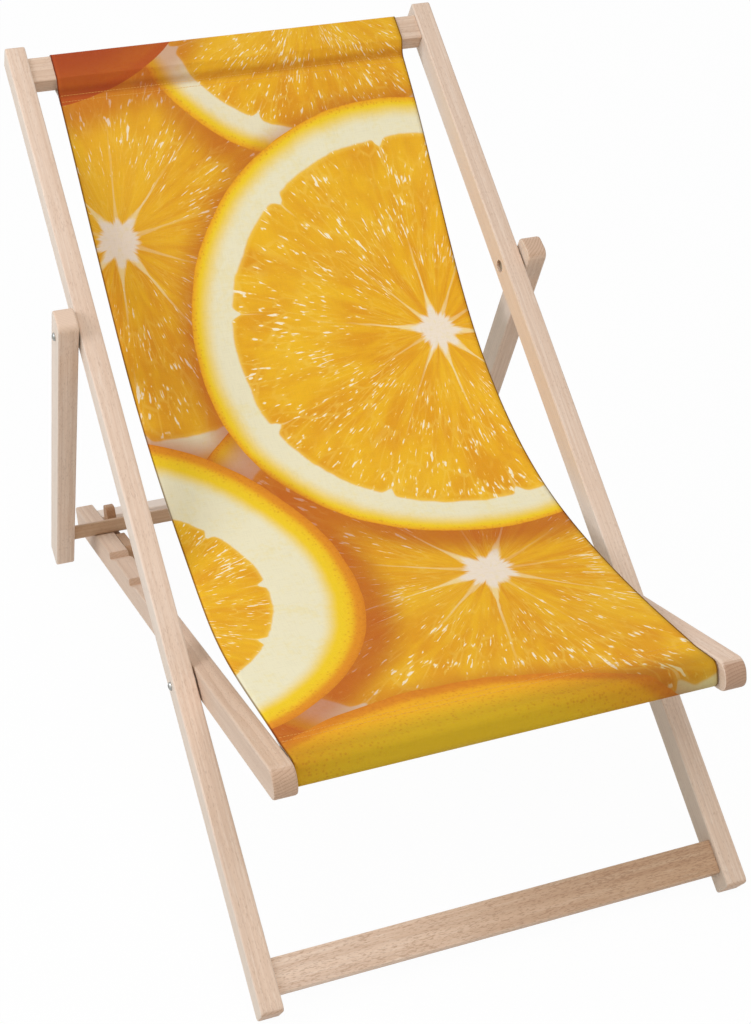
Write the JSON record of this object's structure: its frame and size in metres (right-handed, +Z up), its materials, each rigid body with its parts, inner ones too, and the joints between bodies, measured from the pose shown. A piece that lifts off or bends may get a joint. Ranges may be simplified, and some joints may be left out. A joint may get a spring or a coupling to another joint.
{
  "type": "folding sun lounger",
  "caption": "Folding beech deckchair with a sling of printed canvas, a notched seat frame, a prop frame and a wooden safety catch, for patio and porch seating.",
  "frame": {"origin": "centre of the lounger's bounding box on the floor that its four feet stand on", "axes": "+X to the right of someone who stands in front and faces the lounger, +Y from the foot board towards the top bar, the way the back leans, +Z up"},
  "size_m": [0.5972, 0.9732, 0.6746],
  "materials": {
    "beech": "planed and thinly varnished, satin",
    "zinc_plated_steel": "zinc plated, slightly dull",
    "printed_canvas": "matt woven canvas with an all-over print"
  },
  "bodies": {
    "main_frame": {"main_leg_left": "beech", "main_leg_right": "beech", "top_bar": "beech", "foot_board": "beech", "dowel_top_bar_left": "beech", "dowel_top_bar_right": "beech", "dowel_foot_board_lower_left": "beech", "dowel_foot_board_lower_right": "beech", "dowel_foot_board_upper_left": "beech", "dowel_foot_board_upper_right": "beech", "main_bolt_left": "zinc_plated_steel", "main_bolt_right": "zinc_plated_steel", "main_nut_left": "zinc_plated_steel", "main_nut_right": "zinc_plated_steel", "main_washer_left": "zinc_plated_steel", "main_washer_right": "zinc_plated_steel", "prop_bolt_left": "zinc_plated_steel", "prop_bolt_right": "zinc_plated_steel", "prop_nut_left": "zinc_plated_steel", "prop_nut_right": "zinc_plated_steel", "prop_washer_left": "zinc_plated_steel", "prop_washer_right": "zinc_plated_steel", "sling": "printed_canvas"},
    "seat_frame": {"seat_rail_left": "beech", "seat_rail_right": "beech", "seat_bar": "beech", "rear_crossbar": "beech", "dowel_seat_bar_left": "beech", "dowel_seat_bar_right": "beech", "dowel_rear_crossbar_left": "beech", "dowel_rear_crossbar_right": "beech", "catch_screw": "zinc_plated_steel", "catch_washer": "zinc_plated_steel"},
    "prop_frame": {"prop_leg_left": "beech", "prop_leg_right": "beech", "prop_bar": "beech", "dowel_prop_bar_left": "beech", "dowel_prop_bar_right": "beech"},
    "catch": {"safety_catch": "beech"}
  },
  "joints": [
    {"name": "seat_frame_fold", "type": "hinge", "parent": "main_frame", "child": "seat_frame", "pos_m": [0, -0.18772, 0.20951], "axis": [-1, 0, 0], "range_deg": [0, 123], "deforming": ["sling"]},
    {"name": "prop_frame_fold", "type": "hinge", "parent": "main_frame", "child": "prop_frame", "pos_m": [0, 0.16461, 0.44895], "axis": [-1, 0, 0], "range_deg": [0, 75.77]},
    {"name": "catch_turn", "type": "hinge", "parent": "seat_frame", "child": "catch", "pos_m": [-0.2139, 0.27019, 0.07098], "axis": [-1, 0, 0], "range_deg": [0, 20]}
  ],
  "couplings": [
    {"joint": "prop_frame_fold", "follows": "seat_frame_fold", "ratio": 0.616}
  ]
}
